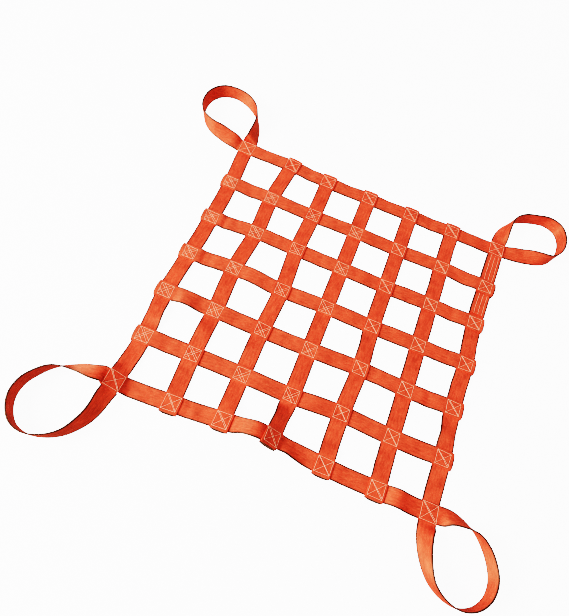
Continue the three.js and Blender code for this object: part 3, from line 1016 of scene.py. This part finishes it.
def paint_edge_shade(tree, strap):
    """How much painted shade there is, up to 1 along the free selvedges and on the crowns of the folds"""
    off_middle = add_node(tree, "ShaderNodeMath", {"operation": "ABSOLUTE"}, {0: strap.outputs["Y"]})
    edge = add_node(
        tree, "ShaderNodeMapRange", None,
        {
            "Value": off_middle.outputs["Value"],
            "From Min": HALF - SELVEDGE_BAND, "From Max": HALF - SELVEDGE_DARK,
        },
    )
    free = add_node(tree, "ShaderNodeAttribute", {"attribute_name": "free"})
    free_edge = add_node(
        tree, "ShaderNodeMath", {"operation": "MULTIPLY"},
        {0: edge.outputs["Result"], 1: free.outputs["Fac"]},
    )
    crown = add_node(tree, "ShaderNodeAttribute", {"attribute_name": "crown"})
    fold_edge = add_node(
        tree, "ShaderNodeMapRange", None,
        {"Value": crown.outputs["Fac"], "From Min": CROWN_DARK[0], "From Max": CROWN_DARK[1]},
    )
    return add_node(
        tree, "ShaderNodeMath", {"operation": "MAXIMUM"},
        {0: free_edge.outputs["Value"], 1: fold_edge.outputs["Result"]},
    )


print("painted_shade band, mm:", round(SELVEDGE_BAND / MM, 1))

# %% Woven polyester webbing
WEAVE_RELIEF = 0.5 * MM
WEAVE_STRENGTH = 0.7


def polyester_webbing():
    # Dyed yarn under close floats: a dull red orange, uneven along the strap, with painted shade at its
    # edges.
    # Its highlights are drawn out across the yarn, as on all cloth with long parallel threads.
    material, tree, shader = new_material("woven_polyester_webbing", {
        "Roughness": 0.7, "IOR": 1.6, "Specular IOR Level": 0.75, "Specular Tint": linear("#ffac7e"),
        "Anisotropic": 0.95, "Anisotropic Rotation": 0.25,
    })
    coordinates = add_node(tree, "ShaderNodeTexCoord")
    strap = add_node(tree, "ShaderNodeSeparateXYZ", None, {"Vector": coordinates.outputs["UV"]})
    weave = herringbone(tree, strap)
    shade = uneven_dye(tree, coordinates)
    painted_edge_shade = paint_edge_shade(tree, strap)
    dyed = add_node(
        tree, "ShaderNodeMix", {"data_type": "RGBA", "blend_type": "MULTIPLY"},
        {"Factor": 1, MIX_A: weave.outputs["Color"], MIX_B: shade.outputs["Result"]},
    )
    # The near black mixed in here is painted shade along the free selvedges and the fold crowns.
    colour = add_node(
        tree, "ShaderNodeMix", {"data_type": "RGBA"},
        {"Factor": painted_edge_shade.outputs["Value"], MIX_A: dyed.outputs[MIX_RESULT], MIX_B: linear("#1c0705")},
    )
    bump = add_node(
        tree, "ShaderNodeBump", {"invert": True},
        {"Height": weave.outputs["Fac"], "Strength": WEAVE_STRENGTH, "Distance": WEAVE_RELIEF},
    )
    tangent = add_node(tree, "ShaderNodeTangent", {"direction_type": "UV_MAP", "uv_map": "UVMap"})
    tree.links.new(colour.outputs[MIX_RESULT], shader.inputs["Base Color"])
    tree.links.new(bump.outputs["Normal"], shader.inputs["Normal"])
    tree.links.new(tangent.outputs["Tangent"], shader.inputs["Tangent"])
    return material


webbing_finish = polyester_webbing()
straps = [edge_strap, *[strap for _, strap, _ in inner_straps]]
for strap in straps:
    strap.data.materials.append(webbing_finish)
print("straps with a finish:", len(straps))

# %% [markdown]
# ## Bonded thread
# The seams are sewn with thick polyester thread, bonded so that its strands don't fray in the machine. It
# is the same orange as the webbing but stands up into the light, and wear has made it paler, so each
# stitch shows as a pale dash. One colour would look printed, so the shade changes from stitch to stitch.

# %% Bonded thread
SHADE_LENGTH = 5 / 3 * MM


def bonded_thread():
    # A smooth coating over twisted strands: paler and a little glossier than the webbing
    material, tree, shader = new_material("bonded_polyester_thread", {"Roughness": 0.5})
    coordinates = add_node(tree, "ShaderNodeTexCoord")
    strands = add_node(
        tree, "ShaderNodeTexNoise", None,
        {"Vector": coordinates.outputs["Object"], "Scale": 1 / SHADE_LENGTH, "Detail": 2},
    )
    colour = add_node(
        tree, "ShaderNodeMix", {"data_type": "RGBA"},
        {"Factor": strands.outputs["Fac"], MIX_A: linear("#eb7c5d"), MIX_B: linear("#f5a287")},
    )
    tree.links.new(colour.outputs[MIX_RESULT], shader.inputs["Base Color"])
    return material


thread_finish = bonded_thread()
threads = [*row_seams, splice_thread]
for thread in threads:
    thread.data.materials.append(thread_finish)
print("pieces of sewing with a finish:", len(threads))

# %% [markdown]
# ## What each piece stands for
# Every piece rides on the one body of the net, and the straps take the place of their CAD solids, which
# are hidden.

# %% Ride and replace
for piece in [*straps, *threads]:
    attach(piece, "root")

EDGE_NODES = [
    "edge_far", "edge_near", "edge_left", "edge_right", "splice_ply",
    "loop_far_left", "loop_far_right", "loop_near_left", "loop_near_right",
]
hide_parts(*EDGE_NODES)
for node, strap, length in inner_straps:
    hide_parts(node)
print("sheets:", len(straps))

# %% [markdown]
# ## Floor
# The net lies on a plain pale floor, as bright as a lit studio sweep. It gives no light back to the net,
# because that would fill the dark inner faces of the loops. It lies a little low, to leave room for the
# stitches on the underside.

# %% Floor
FLOOR_SIZE = 30
FLOOR_DROP = 0.6 * MM

bpy.ops.object.select_all(action="DESELECT")
bpy.ops.mesh.primitive_plane_add(size=FLOOR_SIZE, location=(0, 0, -FLOOR_DROP))
floor = bpy.context.object
floor.name = "floor"
floor_finish, _, _ = new_material("pale_floor", {
    "Base Color": linear("#e0e0e0"), "Roughness": 0.8,
    "Emission Color": linear("#ffffff"), "Emission Strength": 4,
})
floor.data.materials.append(floor_finish)
floor.visible_diffuse = False
floor.visible_glossy = False
print("floor, m:", FLOOR_SIZE)

# %% [markdown]
# ## Light
# The photograph's light comes from the left, softly: the faces of the loops that look left are bright and
# the others are dark. One large lamp does that, and the world fills the shadows. The view is set to the
# response of film at a very high contrast, because that came closest to the photograph's orange, and a
# narrow pixel filter keeps the selvedges as crisp as they are there.

# %% Light
KEY_PLACE = Vector((-3.7, -2.1, 2.6))
KEY_SIZE = 2
KEY_POWER = 720
FILL = 0.68
FILTER_WIDTH = 1

bpy.ops.object.light_add(type="AREA", location=KEY_PLACE)
key_light = bpy.context.object
key_light.name = "key_light"
key_light.rotation_euler = (-KEY_PLACE).to_track_quat("-Z", "Y").to_euler()
key_light.data.size = KEY_SIZE
key_light.data.energy = KEY_POWER

scene = bpy.context.scene
scene.world = bpy.data.worlds.new("studio")
scene.world.use_nodes = True
background = scene.world.node_tree.nodes["Background"]
background.inputs["Color"].default_value = linear("#ffffff")
background.inputs["Strength"].default_value = FILL
scene.view_settings.view_transform = "Filmic"
scene.view_settings.look = "Very High Contrast"
scene.cycles.filter_width = FILTER_WIDTH
print("distance of the key light, m:", round(KEY_PLACE.length, 2))
